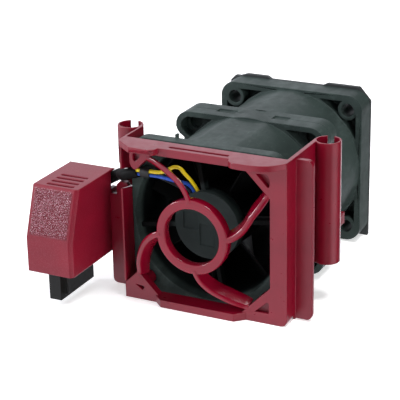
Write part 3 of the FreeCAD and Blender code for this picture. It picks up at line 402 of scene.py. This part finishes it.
def guard_spoke(turn, shift):
    rows = curve_through([(21.4, 36.5 + shift, -1.75, 2.1), (20.6, 34.8 + shift, -1.95, 2.4), (19.0, 31.2 + shift * 0.6, -2.8, 2.8), (16.1, 24.2, -3.9, 2.9),
                          (13.2, 14.8, -4.7, 2.7), (10.8, 8.0, -5.2, 2.3), (8.5, 3.2, -5.4, 2.1)], 7)
    half, lean = 0.72, 0.62
    pts = []
    for r, a, y, d in rows:
        q = math.radians(a + turn)
        pts.append((Vector((r * math.cos(q), y, r * math.sin(q))), q, d))
    # across, forward, share of the way back
    section = ((-1.0, 0.0, 0.0), (-0.88, -0.15, 0.0), (-0.55, -0.26, 0.0), (0.0, -0.30, 0.0), (0.55, -0.26, 0.0), (0.88, -0.15, 0.0), (1.0, 0.0, 0.0),
               (0.9, 0.0, 0.5), (0.8, 0.0, 0.93), (0.6, 0.0, 1.0), (-0.6, 0.0, 1.0), (-0.8, 0.0, 0.93), (-0.9, 0.0, 0.5))
    verts, m = [], len(section)
    for i, (p, q, d) in enumerate(pts):
        along = pts[min(i + 1, len(pts) - 1)][0] - pts[max(i - 1, 0)][0]
        along.y = 0.0
        along.normalize()
        side = Vector((-along.z, 0.0, along.x)) * half
        back = Vector((-math.sin(q) * lean * d, d, math.cos(q) * lean * d))
        for a, f, b in section:
            v = p + side * a + Vector((0.0, f, 0.0)) + back * b
            v = v - along * (v - p).dot(along)
            verts.append(W(v.x, v.y, v.z))
    n = len(pts)
    faces = [(i * m + j, i * m + (j + 1) % m, (i + 1) * m + (j + 1) % m, (i + 1) * m + j) for i in range(n - 1) for j in range(m)]
    faces += [tuple(range(m)), tuple(range((n - 1) * m, n * m))]
    return mesh_object("guard_spoke", verts, faces)


def build_guard():
    ring = guard_ring(RING[0], RING[1], RING[2], RING[3])
    spokes = [guard_spoke(90.0 * k, shift) for k, shift in enumerate((-2.5, 2.0, 3.0, 0.0))]
    for k, o in enumerate(spokes):
        mod = ring.modifiers.new("join_%d" % k, "BOOLEAN")
        mod.operation = "UNION"
        mod.solver = "EXACT"
        mod.object = o
    bpy.context.view_layer.update()
    done = bpy.data.meshes.new_from_object(ring.evaluated_get(bpy.context.evaluated_depsgraph_get()))
    ring.modifiers.clear()
    for o in spokes:
        bpy.data.objects.remove(o, do_unlink=True)
    ring.data = done
    ring.name = "swirl_guard_finished"
    done.shade_smooth()
    done.set_sharp_from_angle(angle=math.radians(40.0))
    dress(ring, MATS["guard_gloss"])
    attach(ring, "module")
    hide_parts("swirl_guard")
    return ring


RING = (-5.6, 2.4, 9.3, 7.05)
build_guard()

# ------------------------------------------------------------------ stage and light
floor_mesh = bpy.data.meshes.new("floor")
bm = bmesh.new()
bmesh.ops.create_grid(bm, x_segments=8, y_segments=8, size=3.0)
bm.to_mesh(floor_mesh)
bm.free()
floor = bpy.data.objects.new("floor", floor_mesh)
bpy.context.scene.collection.objects.link(floor)
floor.location = (0, 0, -0.00005)
fm = Mat("floor_white")
fm.set(Base_Color=fm.ramp(fm.noise(4.0), [(0.3, (0.93, 0.93, 0.93)), (0.7, (0.95, 0.95, 0.95))]))
fm.b.inputs["Roughness"].default_value = 0.9
fm.b.inputs["Emission Color"].default_value = (1.0, 1.0, 1.0, 1.0)
fm.b.inputs["Emission Strength"].default_value = 0.55
dress(floor, fm.m)

bpy.context.scene.view_settings.view_transform = "Standard"
floor.visible_glossy = False
world = bpy.data.worlds.new("world")
world.use_nodes = True
bpy.context.scene.world = world
wt = world.node_tree
bg = wt.nodes["Background"]


def sky():
    """Studio surround by direction: bright above and in front, dim to the right and below."""
    tc = wt.nodes.new("ShaderNodeTexCoord")
    sep = wt.nodes.new("ShaderNodeSeparateXYZ")
    wt.links.new(tc.outputs["Generated"], sep.inputs[0])

    def span(sock, a, b, lo, hi):
        x = wt.nodes.new("ShaderNodeMapRange")
        x.interpolation_type = "SMOOTHSTEP"
        for k, v in (("From Min", a), ("From Max", b), ("To Min", lo), ("To Max", hi)):
            x.inputs[k].default_value = v
        wt.links.new(sock, x.inputs["Value"])
        return x.outputs["Result"]

    def op(kind, a, b):
        x = wt.nodes.new("ShaderNodeMath")
        x.operation = kind
        for i, q in enumerate((a, b)):
            if isinstance(q, (int, float)):
                x.inputs[i].default_value = q
            else:
                wt.links.new(q, x.inputs[i])
        return x.outputs[0]

    def lobe(d, a, b, power):
        x = wt.nodes.new("ShaderNodeVectorMath")
        x.operation = "DOT_PRODUCT"
        wt.links.new(tc.outputs["Generated"], x.inputs[0])
        x.inputs[1].default_value = Vector(d).normalized()
        return span(x.outputs["Value"], a, b, 0.0, power)

    left = op("MULTIPLY", span(sep.outputs["X"], 0.35, -0.25, 0.0, SKY_LEFT), span(sep.outputs["Y"], 0.75, 0.0, 0.05, 1.0))
    top = span(sep.outputs["Z"], 0.25, 0.85, 0.0, SKY_TOP)
    back = lobe((-0.25, 0.88, -0.40), 0.84, 0.93, SKY_BACK)
    high = lobe((-0.42, 0.83, 0.36), 0.86, 0.97, SKY_HIGH)
    right = lobe((0.92, -0.12, -0.36), 0.86, 0.96, SKY_RIGHT)
    return op("ADD", op("ADD", op("ADD", op("ADD", op("ADD", left, top), back), high), right), SKY_BASE)


SKY_LEFT, SKY_TOP, SKY_BACK, SKY_BASE = 1.02, 0.05, 2.6, 0.003
SKY_HIGH, SKY_RIGHT = 1.15, 1.3
wt.links.new(sky(), bg.inputs[1])
bg.inputs[0].default_value = (0.97, 0.98, 1.06, 1.0)


def area(name, loc, target, size, power, color=(1, 1, 1), size_y=None):
    d = bpy.data.lights.new(name, "AREA")
    d.shape = "RECTANGLE"
    d.size = size
    d.size_y = size_y or size
    d.energy = power
    d.color = color
    o = bpy.data.objects.new(name, d)
    bpy.context.scene.collection.objects.link(o)
    o.location = loc
    o.rotation_euler = (Vector(target) - Vector(loc)).to_track_quat("-Z", "Y").to_euler()
    return o


C = (0.0, 0.0, 0.02)
area("key_left", (-0.56, -0.32, 0.27), C, 0.12, 2.0, (0.98, 0.98, 1.04))
area("key_top", (0.20, -0.04, 0.58), C, 0.15, 2.2)
area("right_front", (0.60, -0.30, 0.22), C, 0.20, 1.5).visible_glossy = False
